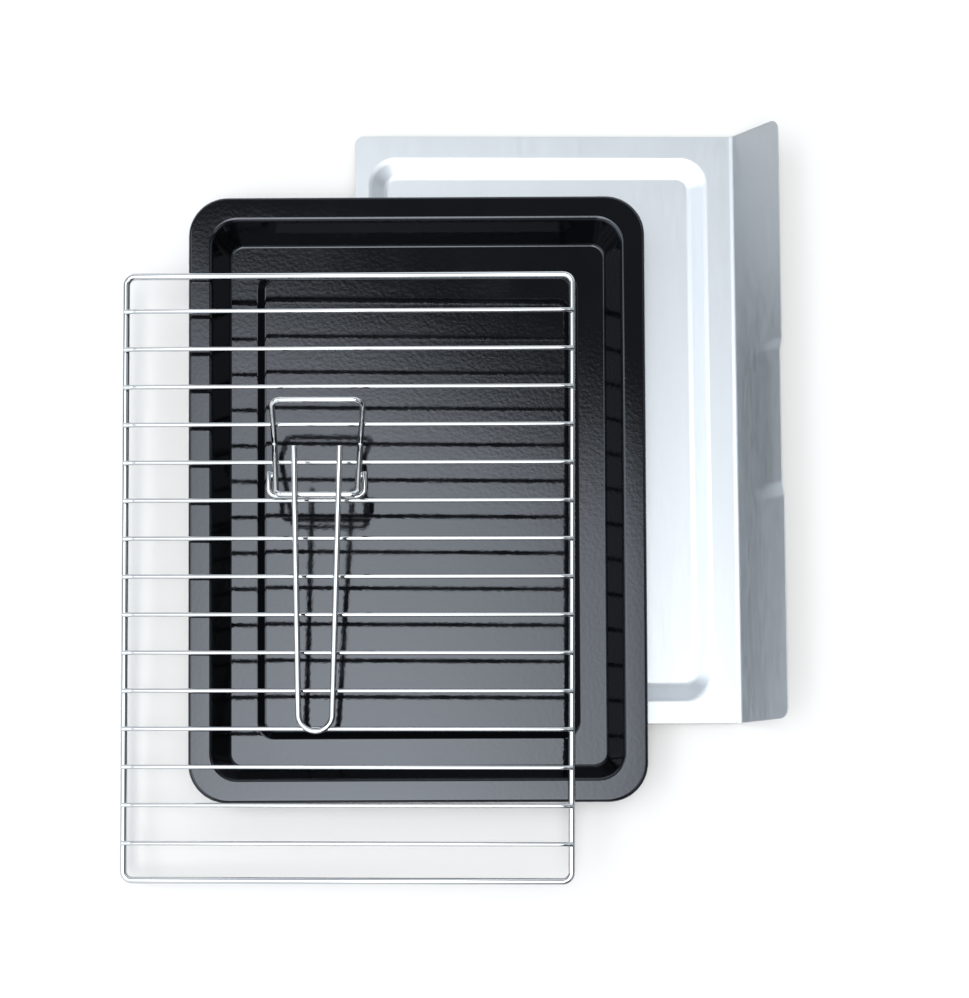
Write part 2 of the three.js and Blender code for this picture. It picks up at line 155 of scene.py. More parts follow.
# %% Directions in the room
world = bpy.data.worlds.new("soft_ceiling_light")
bpy.context.scene.world = world
world.use_nodes = True
room = world.node_tree
room.nodes.clear()
direction = add_node(room, "ShaderNodeTexCoord").outputs["Generated"]
rightward, backward, upward = add_node(room, "ShaderNodeSeparateXYZ", {0: direction}).outputs
height = add_node(room, "ShaderNodeMath", {0: upward, 1: 0.04}, operation="MAXIMUM").outputs[0]
over = add_node(room, "ShaderNodeMath", {0: rightward, 1: height}, operation="DIVIDE").outputs[0]
back = add_node(room, "ShaderNodeMath", {0: backward, 1: height}, operation="DIVIDE").outputs[0]

# how far a direction is from the middle of the window, an ellipse of 0.34 by 0.95
place = add_node(room, "ShaderNodeCombineXYZ", {0: over, 1: back}).outputs[0]
for step, amounts in (("ADD", (0.09, 0.28, 0)), ("DIVIDE", (0.34, 0.95, 1))):
    place = add_node(room, "ShaderNodeVectorMath", {0: place, 1: amounts},
                     operation=step).outputs[0]
far = add_node(room, "ShaderNodeVectorMath", {0: place}, operation="LENGTH").outputs["Value"]

# the window ends in an edge that slants across the ceiling
slant = add_node(room, "ShaderNodeMath", {0: over, 1: 0.45, 2: back},
                 operation="MULTIPLY_ADD").outputs[0]

# the walls turn into the ceiling a little lower towards the back left corner
back_left = add_node(room, "ShaderNodeMath", {0: backward, 1: rightward},
                     operation="SUBTRACT").outputs[0]
lifted = add_node(room, "ShaderNodeMath", {0: back_left, 1: 0.12, 2: upward},
                  operation="MULTIPLY_ADD").outputs[0]
back_right = add_node(room, "ShaderNodeMath", {0: backward, 1: rightward}).outputs[0]
print("directions in the room take", len(room.nodes), "nodes")

# %% Lights and walls
# each light fades in or out between two values of a direction
light = {}
for name, value, start, end, first, last in (
    ("window", far, 0.0, 1.1, 8.1, 0.0),
    ("before the edge", slant, 0.18, 0.31, 1.0, 0.0),
    ("into the dim band", slant, 0.18, 0.31, 1.0, 0.18),
    ("past the dim band", slant, 0.50, 1.10, 0.0, 0.82),
    ("front wall", backward, -0.55, 0.05, 0.05, 0.14),
    ("back wall", backward, 0.30, 0.80, 0.0, 1.35),
    ("low down", lifted, 0.69, 0.82, 1.0, 0.0),
    ("pale ceiling", lifted, 0.69, 0.82, 0.0, 1.0),
    ("front left corner", back_right, -0.70, -1.15, 0.0, 1.5),
    ("left window", rightward, -0.30, -0.62, 0.0, 3.6),
    ("right window", rightward, 0.30, 0.62, 0.0, 1.4),
    ("above the left", upward, 0.52, 0.78, 0.0, 1.0),
    ("above the right", upward, 0.45, 0.65, 0.0, 1.0),
):
    light[name] = add_node(room, "ShaderNodeMapRange", {
        "Value": value, "From Min": start, "From Max": end, "To Min": first, "To Max": last,
    }, interpolation_type="SMOOTHSTEP").outputs[0]

walls = add_node(room, "ShaderNodeMath", {
    0: light["front wall"], 1: light["back wall"]}).outputs[0]
walls = add_node(room, "ShaderNodeMath", {0: walls, 1: light["front left corner"]}).outputs[0]
walls = add_node(room, "ShaderNodeMath", {
    0: walls, 1: light["low down"], 2: light["pale ceiling"]},
    operation="MULTIPLY_ADD").outputs[0]
for side, above in (("left window", "above the left"), ("right window", "above the right")):
    walls = add_node(room, "ShaderNodeMath", {0: light[side], 1: light[above], 2: walls},
                     operation="MULTIPLY_ADD").outputs[0]
dimmed = add_node(room, "ShaderNodeMath", {
    0: light["into the dim band"], 1: light["past the dim band"]}).outputs[0]
walls = add_node(room, "ShaderNodeMath", {0: walls, 1: dimmed}, operation="MULTIPLY").outputs[0]
window = add_node(room, "ShaderNodeMath", {
    0: light["window"], 1: light["before the edge"]}, operation="MULTIPLY").outputs[0]
print(len(light), "lights and shades fade in or out")

# %% The room, as a world
daylight = add_node(room, "ShaderNodeBackground", {
    "Color": hex_colour("#FAFBFC"), "Strength": window})
cool_paint = add_node(room, "ShaderNodeBackground", {
    "Color": hex_colour("#E6EEF7"), "Strength": walls})
around = add_node(room, "ShaderNodeAddShader", {0: daylight.outputs[0], 1: cool_paint.outputs[0]})
paper = add_node(room, "ShaderNodeBackground", {"Color": (1, 1, 1, 1), "Strength": 1.0})
seen_by = add_node(room, "ShaderNodeLightPath")
choice = add_node(room, "ShaderNodeMixShader", {
    0: seen_by.outputs["Is Camera Ray"], 1: around.outputs[0], 2: paper.outputs[0],
})
add_node(room, "ShaderNodeOutputWorld", {"Surface": choice.outputs[0]})
print("the room has", len(room.nodes), "nodes")

# %% [markdown]
# ## The table
#
# White paper under everything, a matt sheet that takes the soft shadows. Its grey is a little
# warm and chosen for this room: away from the pieces it comes out just white under the cool
# walls' light, so that every shadow still shows.

# %% A white table top
bpy.ops.object.select_all(action="DESELECT")
bpy.ops.mesh.primitive_plane_add(size=9, location=(0, 0, -0.3 * mm))
table = bpy.context.object
table.name = "table_top"
table.data.materials.append(new_finish("white_paper", "#DBD8D4", Roughness=0.9)[0])

# %% [markdown]
# ## Where the loose pieces rest
#
# Nothing here is held: the baking tray stands on two rims of the crumb tray and tips until its
# front left corner meets the table, and the rack leans on the baking tray's rim in the same
# way. Three points of contact fix a plane, so each piece is modelled flat at the origin and
# then put on its three points.

# %% Stand a piece on three points
touching = 0.3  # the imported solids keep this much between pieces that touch


def standing_on(a, b, c, x, y):
    """The place whose floor holds three points and whose origin is above x, y, all in mm."""
    a, b, c = Vector(a), Vector(b), Vector(c)
    normal = (b - a).cross(c - a).normalized()
    if normal.z < 0:
        normal.negate()
    z = a.z - (normal.x * (x - a.x) + normal.y * (y - a.y)) / normal.z
    across = Vector((normal.z, 0, -normal.x)).normalized()
    along = normal.cross(across)
    turned = Matrix((across, along, normal)).transposed().to_4x4()
    return Matrix.Translation(Vector((x, y, z)) * mm) @ turned


def turn(angle):
    return Matrix.Rotation(math.radians(angle), 4, "Z")


# %% The baking tray's place on the crumb tray
sheet = 0.8  # thickness of both trays' steel; every measure is in mm
crumb_half = Vector((128.25, 201))  # from the crumb tray's middle to its left and front edges
crumb_top = 5.8

tray_x, tray_y = -86.6, -53
tray_half = Vector((302.5, 402.5)) / 2
channel_half = tray_half - Vector((24.6, 24.6))
panel_half = channel_half - Vector((18.5, 18.5))
channel_corner = 8.5
corner_cut = channel_corner * (1 - math.sqrt(0.5))
tray_set = standing_on(
    (-crumb_half.x, tray_y + panel_half.y, crumb_top + touching),
    (tray_x + panel_half.x, -crumb_half.y, crumb_top + touching),
    (tray_x - channel_half.x + corner_cut, tray_y - channel_half.y + corner_cut, touching),
    tray_x, tray_y,
)
print("the tray stands at", [round(c / mm, 1) for c in tray_set.translation], "mm")

# %% The rack's place on the baking tray, and the handle's on the rack
tray_top, rim_bend = 24.8, 2.5
rack_x, rack_y = -45.4, -53.2
rack_half = Vector((294.4, 398.7)) / 2
frame_wire, cross_wire, handle_wire = 4.5, 3.0, 3.8
pitch = 25
cross_height = (frame_wire + cross_wire) / 2 + touching
rim_left, rim_front = -tray_half.x + rim_bend, -tray_half.y + rim_bend
rack_set = tray_set @ standing_on(
    (rim_left, rack_y + rack_half.y, tray_top + frame_wire / 2 + touching),
    (rack_x + rack_half.x, rim_front, tray_top + frame_wire / 2 + touching),
    (rim_left, rack_y - 5 * pitch, tray_top + cross_wire / 2 + touching - cross_height),
    rack_x, rack_y,
)
handle_set = rack_set @ Matrix.Translation(Vector((-20.3, 0, cross_height)) * mm) @ turn(-0.19)
for name, place in (("rack", rack_set), ("handle", handle_set)):
    print(name, "stands at", [round(c / mm, 1) for c in place.translation], "mm")

# %% [markdown]
# ## Working on one piece at a time
#
# Blender's tools act on whatever is selected. These short helpers start a new piece, select
# parts of the open mesh by their place, apply a modifier, and at the end put the piece where
# it belongs and print how it fits in the solid that it stands for.


# %% Helpers for modelling
def start_clean():
    if bpy.context.object and bpy.context.object.mode != "OBJECT":
        bpy.ops.object.mode_set(mode="OBJECT")
    bpy.ops.object.select_all(action="DESELECT")


def pick(kind, wanted):
    """Select the verts, edges or faces of the open mesh whose middle (mm) passes a test."""
    bpy.ops.mesh.select_mode(type={"verts": "VERT", "edges": "EDGE", "faces": "FACE"}[kind])
    bpy.ops.mesh.select_all(action="DESELECT")
    mesh = bmesh.from_edit_mesh(bpy.context.object.data)
    middle = {
        "verts": lambda v: v.co,
        "edges": lambda e: (e.verts[0].co + e.verts[1].co) / 2,
        "faces": lambda f: f.calc_center_median(),
    }[kind]
    found = [part for part in getattr(mesh, kind) if wanted(middle(part) / mm, part)]
    for part in found:
        part.select_set(True)
    mesh.select_flush_mode()
    bmesh.update_edit_mesh(bpy.context.object.data)
    return len(found)


def modifier(kind, **settings):
    added = bpy.context.object.modifiers.new(kind.title(), kind)
    for key, value in settings.items():
        setattr(added, key, value)
    bpy.ops.object.modifier_apply(modifier=added.name)


# %% Finish a piece and compare it with its solid
def put_in_place(place, name, body, slot, *nodes):
    """Move the finished piece to its place, keep that in its mesh, and let it ride."""
    piece = bpy.context.object
    bpy.ops.object.mode_set(mode="OBJECT")
    piece.name = piece.data.name = name
    piece.matrix_world = place
    bpy.ops.object.select_all(action="DESELECT")
    piece.select_set(True)
    bpy.ops.object.transform_apply(location=True, rotation=True, scale=True)
    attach(piece, body)
    print(name, "has", len(piece.data.polygons), "faces", end="; ")
    if nodes:
        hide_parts(*nodes)
        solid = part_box(nodes[0])
        low, high = ([end(v.co[i] for v in piece.data.vertices) for i in range(3)]
                     for end in (min, max))
        gaps = [low[i] - solid[0][i] for i in range(3)]
        gaps += [solid[1][i] - high[i] for i in range(3)]
        print("inside its solid by", [round(gap / mm, 2) for gap in gaps], "mm", end="")
    print()
    return piece


# %% [markdown]
# ## Pressed sheet
#
# Both trays are one sheet of thin steel that a press drew into steps: flat rim, leaning wall,
# floor. Seen in section it is a zigzag line, and each place where the line turns is an
# outline, a rounded rectangle at its own height. The innermost outline is drawn first. Each
# further one is an extrusion of the last, with its four corners scaled to their new radius
# and moved out. Insetting one face over and over would be quicker, but an inset changes a
# corner's radius by as much as the side, and the real corners don't follow that. Then a bevel
# on each outline gives the bend its radius, and Solidify gives the steel its thickness.


# %% Outlines
def outline(width, length, corner, height, shift=0, right_corner=None):
    """A rounded rectangle in mm; shift is to the right, and the right corners may differ."""
    corners = (corner, corner if right_corner is None else right_corner)
    return dict(width=width, length=length, corners=corners, height=height, shift=shift)


def outside(line, at):
    """How far a place lies outside an outline, seen from above, in mm."""
    corner = line["corners"][at.x > line["shift"]]
    x = abs(at.x - line["shift"]) - line["width"] / 2 + corner
    y = abs(at.y) - line["length"] / 2 + corner
    return math.hypot(max(x, 0), max(y, 0)) + min(max(x, y), 0) - corner


def pick_outline(line):
    return pick("verts", lambda at, v: abs(at.z - line["height"]) < 0.01
                and abs(outside(line, at)) < 0.02)


# %% Draw a sheet through its outlines
def corner_middle(line, right, back):
    """The middle of one of an outline's corner arcs."""
    corner = line["corners"][right]
    x = line["width"] / 2 - corner
    y = line["length"] / 2 - corner
    return Vector((line["shift"] + (x if right else -x), y if back else -y, line["height"]))


def next_outline(before, line):
    """Extrude the selected outline a metre up, then fit each corner and bring it to its place."""
    far_up = Vector((0, 0, 1))
    bpy.ops.mesh.extrude_region_move(TRANSFORM_OT_translate={"value": far_up})
    for right in (False, True):
        for back in (False, True):
            old, new = corner_middle(before, right, back), corner_middle(line, right, back)
            pick("verts", lambda at, v: at.z > 900 and (at.x > before["shift"]) == right
                 and (at.y > 0) == back)
            ratio = line["corners"][right] / before["corners"][right]
            bpy.ops.transform.resize(value=(ratio, ratio, 1), center_override=old * mm)
            bpy.ops.transform.translate(value=(new - old) * mm - far_up)
    return pick_outline(line)


def press_sheet(*lines):
    """Draw a sheet from its innermost outline to its outermost, then close its floor."""
    start_clean()
    bpy.ops.mesh.primitive_plane_add(size=1)
    bpy.ops.object.mode_set(mode="EDIT")
    bpy.ops.mesh.select_all(action="SELECT")
    bpy.ops.transform.resize(value=(lines[0]["width"] * mm, lines[0]["length"] * mm, 1))
    bpy.ops.transform.translate(value=(lines[0]["shift"] * mm, 0, lines[0]["height"] * mm))
    bpy.ops.mesh.bevel(offset=lines[0]["corners"][0] * mm, offset_type="OFFSET", segments=14,
                       profile=0.5, affect="VERTICES", clamp_overlap=False)
    bpy.ops.mesh.delete(type="ONLY_FACE")
    bpy.ops.mesh.select_all(action="SELECT")
    counts = [next_outline(before, line) for before, line in zip(lines, lines[1:])]
    pick_outline(lines[0])
    bpy.ops.mesh.edge_face_add()
    bpy.ops.mesh.select_all(action="SELECT")
    bpy.ops.mesh.normals_make_consistent(inside=False)
    mesh = bmesh.from_edit_mesh(bpy.context.object.data)
    if max(mesh.faces, key=lambda face: face.calc_area()).normal.z < 0:
        bpy.ops.mesh.flip_normals()
    print("pressed", len(mesh.faces), "faces; vertices in each outline:", counts)


# %% Bends and thickness
def round_bend(line, turned, radius):
    """Bevel an outline: a sheet that turns by that angle gets that bend radius."""
    pick_outline(line)
    bpy.ops.mesh.bevel(offset=radius * math.tan(turned / 2) * mm, offset_type="OFFSET",
                       segments=6, profile=0.5, affect="EDGES", clamp_overlap=False)


def thicken(edge):
    """Give the sheet its thickness below the drawn side, and round its cut edges."""
    bpy.ops.object.mode_set(mode="OBJECT")
    modifier("SOLIDIFY", thickness=sheet * mm, offset=-1, use_even_offset=True)
    modifier("BEVEL", width=edge * mm, segments=2,
             limit_method="ANGLE", angle_limit=math.radians(60))
    modifier("WELD", merge_threshold=0.01 * mm)
    bpy.ops.object.shade_smooth()
    modifier("WEIGHTED_NORMAL", mode="FACE_AREA", weight=80)


# %% [markdown]
# ## The baking tray
#
# A deep tray for the oven's shelf grooves. Its floor has a raised panel with a channel around
# it that keeps fat away from the food and stops the sheet from twisting in the heat. The
# outer edge is turned down so that no raw edge can cut.

# %% Press the baking tray
panel_rise, panel_run, rim_width, hem_z = 4, 5.5, 15.6, 21.25
panel_top = outline(2 * (panel_half.x - panel_run), 2 * (panel_half.y - panel_run), 6.5,
                    sheet + panel_rise)
panel_foot = outline(2 * panel_half.x, 2 * panel_half.y, 12, sheet)
channel = outline(2 * channel_half.x, 2 * channel_half.y, channel_corner, sheet)
rim_inner = outline(2 * (tray_half.x - rim_width), 2 * (tray_half.y - rim_width), 17.5, tray_top)
rim_outer = outline(2 * tray_half.x, 2 * tray_half.y, 26, tray_top)
hem = outline(2 * tray_half.x, 2 * tray_half.y, 26, hem_z)
press_sheet(panel_top, panel_foot, channel, rim_inner, rim_outer, hem)
panel_angle = math.atan2(panel_rise, panel_run)
wall_angle = math.atan2(24, 10.5)  # for the size of its bends; the wall is 3 degrees steeper
round_bend(panel_top, panel_angle, 3.0)
round_bend(panel_foot, panel_angle, 2.2)
round_bend(channel, wall_angle, 2.2)
round_bend(rim_inner, wall_angle, 3.0)
round_bend(rim_outer, math.pi / 2, rim_bend)
thicken(edge=0.25)
baking_tray = put_in_place(tray_set @ turn(0.37), "baking_tray_sheet", "baking_tray_body",
                           "black_enamel", "baking_tray")

# %% [markdown]
# ## The crumb tray
#
# A shallow tray that slides in under the heating elements. Its lip closes the slot at the
# oven's front, and a finger recess pressed into the lip's middle gives a grip to pull it by.
# It is pressed like the baking tray, then one side is extruded as the lip.

# %% Press the crumb tray
floor = outline(207.5, 349, 8.5, sheet, shift=-4)
recess = outline(228.5, 370, 19, crumb_top, shift=-4)
flat_edge = outline(254.75, 2 * crumb_half.y, 6, crumb_top, shift=-0.875, right_corner=1)
press_sheet(floor, recess, flat_edge)
recess_angle = math.atan2(crumb_top - sheet, (recess["width"] - floor["width"]) / 2)
round_bend(floor, recess_angle, 9)
round_bend(recess, recess_angle, 9)

# %% Make clean corners where the lip starts
flat_end, fold_half = flat_edge["width"] / 2 + flat_edge["shift"], 200.9
for side in (-1, 1):  # the few vertices of each small rounding become one
    pick("verts", lambda at, v: at.x > flat_end - 1.1 and side * at.y > fold_half - 1.4)
    bpy.ops.mesh.merge(type="CENTER")
    mesh = bmesh.from_edit_mesh(bpy.context.object.data)
    merged = next(v for v in mesh.verts if v.select)
    move = Vector((flat_end, side * fold_half, crumb_top)) * mm - merged.co
    bpy.ops.transform.translate(value=move)
    print("a corner moved by", round(move.length / mm, 2), "mm")

# %% Bend up the lip
fold_x, fold_radius = 128.82, 4
lip_reach, lip_rise, lip_half, lip_corner = 24.96, 30.34, 200, 6.5
lip_angle = math.atan2(lip_rise, lip_reach)
# at the flat's end and at the fold, only the edge along the whole lip is over 300 mm long
pick("edges", lambda at, e: at.x > flat_end - 0.1 and e.calc_length() > 300 * mm)
for step in ((fold_x - flat_end, 0, 0), (lip_reach, 0, lip_rise)):
    bpy.ops.mesh.extrude_region_move(TRANSFORM_OT_translate={"value": Vector(step) * mm})
pick("verts", lambda at, v: at.x > fold_x + lip_reach / 2)
bpy.ops.transform.resize(value=(1, lip_half / fold_half, 1), center_override=(0, 0, 0))
bpy.ops.mesh.bevel(offset=lip_corner * mm, offset_type="OFFSET", segments=10, profile=0.5,
                   affect="VERTICES")
pick("edges", lambda at, e: abs(at.x - fold_x) < 0.01 and e.calc_length() > 300 * mm)
bpy.ops.mesh.bevel(offset=fold_radius * math.tan(lip_angle / 2) * mm, offset_type="OFFSET",
                   segments=7, profile=0.5, affect="EDGES", clamp_overlap=False)
print("the lip leans", round(math.degrees(lip_angle), 1), "degrees out of the flat")

# %% Cut the lip where the finger recess will be
finger_half, ramp = 48.5, 11.5
fade_start, fade_length = 0.12, 0.76  # shares of the lip's reach, from the fold
bend_middle, bend_end = fold_x - 0.52, fold_x + 1.18
ramp_cuts = [1.1 * k for k in range(-6, 7)]
for y in [0] + [side * (finger_half + cut) for side in (-1, 1) for cut in ramp_cuts]:
    pick("faces", lambda at, f: at.x > bend_middle)
    bpy.ops.mesh.bisect(plane_co=(0, y * mm, 0), plane_no=(0, 1, 0))
for share in [fade_start + fade_length * k / 10 for k in range(11)]:
    count = pick("faces", lambda at, f: at.x > bend_end)
    bpy.ops.mesh.bisect(plane_co=((fold_x + lip_reach * share) * mm, 0, 0), plane_no=(1, 0, 0))
print("the last cut went through a lip of", count, "faces")

# %% Press the finger recess
finger_depth = 2.1


def smooth(share):
    """A ramp from 0 to 1 that starts and ends level."""
    share = min(1, max(0, share))
    return share * share * (3 - 2 * share)


lip_out = Vector((-math.sin(lip_angle), 0, math.cos(lip_angle)))
mesh = bmesh.from_edit_mesh(bpy.context.object.data)
for v in mesh.verts:
    along = smooth(((v.co.x / mm - fold_x) / lip_reach - fade_start) / fade_length)
    inside = smooth((finger_half - abs(v.co.y / mm)) / ramp + 0.5)
    v.co += lip_out * finger_depth * along * inside * mm
bmesh.update_edit_mesh(bpy.context.object.data)
thicken(edge=0.2)
crumb_tray = put_in_place(turn(0.62), "crumb_tray_sheet", "crumb_tray_body",
                          "satin_sheet", "crumb_tray")

# %% [markdown]
# ## Bent wire
#
# A wire is bent the way a wire-bending machine does it: a ring stands at the start, a straight
# run is an extrusion of the ring, and a bend is a spin about the bend's own middle. A closed
# wire stops just short of its start and is bridged, which is where the real one is welded.


# %% Cut ends and smooth shading
wire_sides = 20


def round_ends(diameter):
    pick("faces", lambda at, f: len(f.verts) == wire_sides)
    bpy.ops.mesh.bevel(offset=0.14 * diameter * mm, segments=3, profile=0.5, affect="EDGES")


def finish_wire():
    bpy.ops.mesh.select_all(action="SELECT")
    bpy.ops.mesh.normals_make_consistent(inside=False)
    bpy.ops.object.mode_set(mode="OBJECT")
    bpy.ops.object.shade_smooth()


# %% A wire-bending machine
weld_gap = 3  # a closed wire is bent up to here from its start, in mm


def bend_wire(corners, diameter, closed=False, steps=8):
    """Corners are x, y, z and bend radius in mm; those of an open wire include its two ends."""
    corners = [(Vector(place), radius) for *place, radius in corners]
    if closed:
        start = end = (corners[-1][0] + corners[0][0]) / 2
    else:
        start, end = corners[0][0], corners[-1][0]
        corners = corners[1:-1]
    stops = [place for place, _ in corners[1:]] + [end]
    heading = (corners[0][0] - start).to_track_quat("Z", "Y").to_euler()
    start_clean()
    bpy.ops.mesh.primitive_circle_add(vertices=wire_sides, radius=diameter / 2 * mm,
                                      location=start * mm, rotation=heading)
    bpy.ops.object.transform_apply(location=True, rotation=True, scale=True)
    bpy.ops.object.mode_set(mode="EDIT")
    bpy.ops.mesh.select_mode(type="VERT")
    bpy.ops.mesh.select_all(action="SELECT")
    here = start
    for (corner, radius), stop in zip(corners, stops):
        into, out = (corner - here).normalized(), (stop - corner).normalized()
        turned = into.angle(out)
        tangent = radius * math.tan(turned / 2)
        axis = into.cross(out).normalized()
        centre = corner - into * tangent + axis.cross(into) * radius
        bpy.ops.mesh.extrude_region_move(TRANSFORM_OT_translate={
            "value": (corner - into * tangent - here) * mm})
        bpy.ops.mesh.spin(steps=steps, angle=turned, center=centre * mm, axis=-axis)
        here = corner + out * tangent
    rest = end - here
    if closed:
        rest *= 1 - weld_gap / rest.length
    bpy.ops.mesh.extrude_region_move(TRANSFORM_OT_translate={"value": rest * mm})
    mesh = bmesh.from_edit_mesh(bpy.context.object.data)
    ring = [v.co for v in mesh.verts if v.select]
    missed = (sum(ring, Vector()) / len(ring) / mm - here - rest).length
    print("the last ring misses its place by", round(missed, 3), "mm", end="; ")
    if closed:
        pick("edges", lambda at, e: e.is_boundary)
        bpy.ops.mesh.bridge_edge_loops()
    else:
        bpy.ops.mesh.select_all(action="SELECT")
        bpy.ops.mesh.fill_holes(sides=0)
        round_ends(diameter)
    finish_wire()


# %% [markdown]
# ## The wire rack
#
# A frame of 4.5 mm wire with fifteen 3 mm wires welded across it every 25 mm. Resistance
# welding presses each thin wire a little way into the thick one, so its ends sit lower and
# flatter, with a small collar of metal squeezed out around the joint. The frame is bent as one
# closed wire. The cross wires are alike, so one is made, as a cylinder whose ends are cut
# into short lengths and pressed down step by step, and then copied.

# %% The frame
corner_bend = 6
around_rack = [(x * rack_half.x, y * rack_half.y, 0, corner_bend)
               for x, y in ((1, -1), (1, 1), (-1, 1), (-1, -1))]
bend_wire(around_rack, frame_wire, closed=True)
rack_frame = put_in_place(rack_set, "rack_frame_wire", "wire_rack", "chromed_wire", "rack_frame")

# %% One cross wire, with its two pressed ends
half_length, pressed_end = rack_half.x + 0.8, 4.4
start_clean()
bpy.ops.mesh.primitive_cylinder_add(vertices=wire_sides, radius=cross_wire / 2 * mm,
                                    depth=2 * half_length * mm, rotation=(0, math.pi / 2, 0))
bpy.ops.object.transform_apply(location=True, rotation=True, scale=True)
bpy.ops.object.mode_set(mode="EDIT")
round_ends(cross_wire)
for cut in (3.4, 5.2, 6.6, 9):
    for side in (-1, 1):
        bpy.ops.mesh.select_all(action="SELECT")
        bpy.ops.mesh.bisect(plane_co=(side * (half_length - cut) * mm, 0, 0), plane_no=(1, 0, 0))
for reach, drop in ((7.0, 0.12), (5.6, 0.16), (pressed_end, 0.12)):
    pick("verts", lambda at, v: abs(at.x) > half_length - reach)
    bpy.ops.transform.translate(value=(0, 0, -drop * mm))
pick("verts", lambda at, v: abs(at.x) > half_length - pressed_end and at.z > 0.3)
bpy.ops.transform.translate(value=(0, 0, -0.25 * mm))
finish_wire()
pattern = bpy.context.object
print("a cross wire is", round(pattern.dimensions.x / mm, 1), "mm long")

# %% Fifteen of them, from the back to the front
cross_ys = [pitch * (7 - i) for i in range(15)]
cross_wires = []
for number, y in enumerate(cross_ys, 1):
    start_clean()
    wire = pattern.copy()
    wire.data = pattern.data.copy()
    bpy.context.scene.collection.objects.link(wire)
    bpy.context.view_layer.objects.active = wire
    place = rack_set @ Matrix.Translation(Vector((0, y, cross_height)) * mm)
    cross_wires.append(put_in_place(place, f"cross_wire_{number:02d}", "wire_rack",
                                    "chromed_wire", f"rack_cross_wire_{number:02d}"))
bpy.data.objects.remove(pattern)


# %% [markdown]
# ## Welds
#
# Every crossing gets its collar, the little metal that the welding squeezes out: a small ball
# squashed to a lens that fills the joint. A boolean union of the wires would give no collar
# and a ragged mesh. The rack's thirty are one piece, the handle's four another.


# %% Add a collar of weld metal
def weld_collars(places, sizes):
    """One ball per place, in the frame of the piece; sizes are its half axes in mm."""
    start_clean()
    bpy.ops.mesh.primitive_ico_sphere_add(subdivisions=2)
    bpy.ops.object.mode_set(mode="EDIT")
    bpy.ops.mesh.select_all(action="SELECT")
    bpy.ops.mesh.delete(type="VERT")  # leaves an empty piece, which the balls are added to
    for place, size in zip(places, sizes):
        bpy.ops.mesh.primitive_ico_sphere_add(subdivisions=2, radius=1 * mm)
        bpy.ops.transform.resize(value=size)
        bpy.ops.transform.translate(value=Vector(place) * mm)
    finish_wire()


joint_z = 2.1
weld_collars([(side * rack_half.x, y, joint_z) for side in (-1, 1) for y in cross_ys],
             [(1.2, 1.9, 0.6)] * 30)
rack_welds = put_in_place(rack_set, "rack_weld_collars", "wire_rack", "chromed_wire")

# %% [markdown]
# ## The tray handle
#
# Three wires of 3.8 mm. The loop is bent so that a kink hooks under a rim while its back bar
# and the brace press on the tray's wall. The grip is a long narrow U welded across the back
# bar. Here it lies on the rack: the kink hangs between two cross wires, the arms lean on the
# next one, and the U end rests near the front.


# %% Bend the loop
def leaning(*corners):
    """The handle is bent a little crooked: each height is off to one side by a tenth of it."""
    return [(x + 0.1 * z, y, z, *bend) for x, y, z, *bend in corners]


kink_y = 3 * pitch + 13.1
front_y, bar_y = kink_y + 22.3, kink_y - 39.9
front_half, kink_half, bar_half = 29.45, 28.4, 25.9
front_z, kink_z, bar_z = 23.5, -6.95, 29.5
bend_wire(leaning(
    (front_half, front_y, front_z, 5.6), (-front_half, front_y, front_z, 5.6),
    (-kink_half, kink_y, kink_z, 3), (-bar_half, bar_y, bar_z, 4.2),
    (bar_half, bar_y, bar_z, 4.2), (kink_half, kink_y, kink_z, 3),
), handle_wire, closed=True)
loop = put_in_place(handle_set, "handle_loop_wire", "tray_handle", "chromed_wire", "handle_loop")

# %% Bend the grip
grip_length, end_to_bar = 179, 149.8
grip_half, flare = 10.9, 3.6  # its half width at the U end, and how much wider it gets
grip_slope = math.radians(11.41)
grip_low = 3.452
grip_high = grip_low + grip_length * math.tan(grip_slope)
end_y = bar_y - end_to_bar
tips_y = end_y + grip_length
spread = math.atan2(flare * math.cos(grip_slope), grip_length)
u_bend = grip_half * math.tan(math.pi / 4 + spread / 2) - 0.02
bend_wire(leaning(
    (-grip_half - flare, tips_y, grip_high, 0), (-grip_half, end_y, grip_low, u_bend),
    (grip_half, end_y, grip_low, u_bend), (grip_half + flare, tips_y, grip_high, 0),
), handle_wire, steps=14)
grip = put_in_place(handle_set, "handle_grip_wire", "tray_handle", "chromed_wire", "handle_grip")

# %% Bend the brace
brace_y, brace_z, brace_half, brace_reach = bar_y + 1.9, 14, 31.06, 15.8
brace_tips = brace_y + brace_reach
bend_wire(leaning(
    (-brace_half, brace_tips, brace_z, 0), (-brace_half, brace_y, brace_z, 5),
    (brace_half, brace_y, brace_z, 5), (brace_half, brace_tips, brace_z, 0),
), handle_wire)
brace = put_in_place(handle_set, "handle_brace_wire", "tray_handle", "chromed_wire",
                     "handle_brace")

# %% Its welds
grip_at_bar = grip_half + flare * end_to_bar / grip_length
weld_collars(leaning(
    *[(side * grip_at_bar, bar_y, bar_z + 2.05) for side in (-1, 1)],
    *[(side * 29.0, brace_y + 13.6, brace_z) for side in (-1, 1)]),
    [(1.9, 1.9, 0.9)] * 2 + [(0.9, 2.4, 1.5)] * 2)
handle_welds = put_in_place(handle_set, "handle_weld_collars", "tray_handle", "chromed_wire")

# %% [markdown]
# ## Finishes: black enamel
#
# The baking tray is steel sheet dipped in glass enamel and fired. The molten glass sets before
# it is quite level, so whatever it mirrors has a faintly quivering edge, called orange peel:
# waves of 2.5 mm, too shallow to model and drawn as a bump. Over some centimetres the coat
# also varies in thickness, which shifts its black and its gloss by a shade.
# It could be one flat glossy black, but then the tray would look like plastic.

